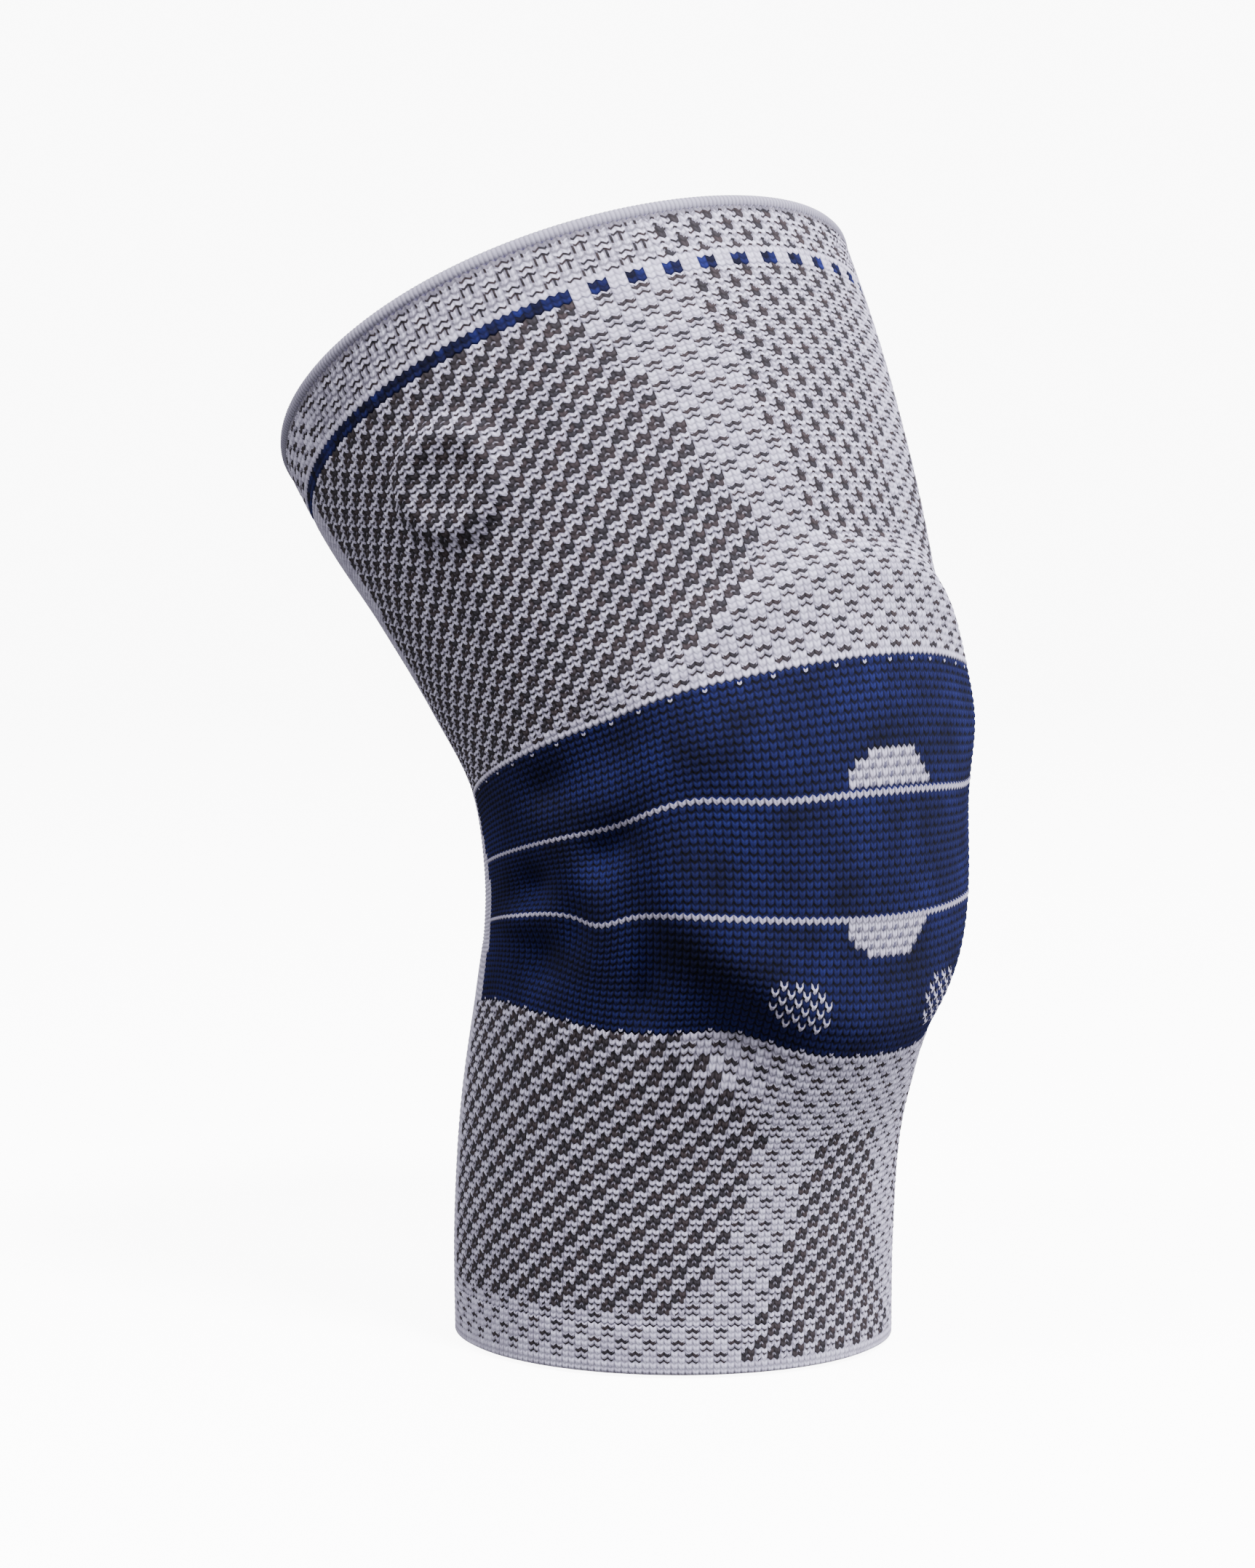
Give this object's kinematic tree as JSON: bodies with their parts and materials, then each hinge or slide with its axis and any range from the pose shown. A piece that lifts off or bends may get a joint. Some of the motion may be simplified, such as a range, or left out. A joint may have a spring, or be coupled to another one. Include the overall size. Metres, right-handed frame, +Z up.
{
  "type": "knee sleeve",
  "caption": "Knitted compression sleeve for the knee, shaped as worn on a slightly bent leg, with a navy band round the kneecap and inner pads.",
  "frame": {"origin": "middle of the knee, on the tube's axis at the kneecap's height", "axes": "+Z up the leg with the calf upright, -Y towards the kneecap, X across the knee; the thigh leans towards +Y"},
  "size_m": [0.1586, 0.1802, 0.2875],
  "materials": {
    "heather_knit": "light grey and charcoal figured knit",
    "light_knit": "light lilac grey knit with small dark marks",
    "navy_knit": "navy knit with light stripes and marks",
    "mesh_knit": "fine light mesh knit",
    "welt_knit": "smooth rolled elastic edge",
    "pad_gel": "matt soft gel"
  },
  "bodies": {
    "root": {"top_welt": "welt_knit", "thigh_cuff": "light_knit", "thigh_knit": "heather_knit", "kneecap_band": "navy_knit", "back_panel": "mesh_knit", "calf_knit": "heather_knit", "hem": "light_knit", "kneecap_pad": "pad_gel", "side_pad": "pad_gel"}
  },
  "joints": []
}
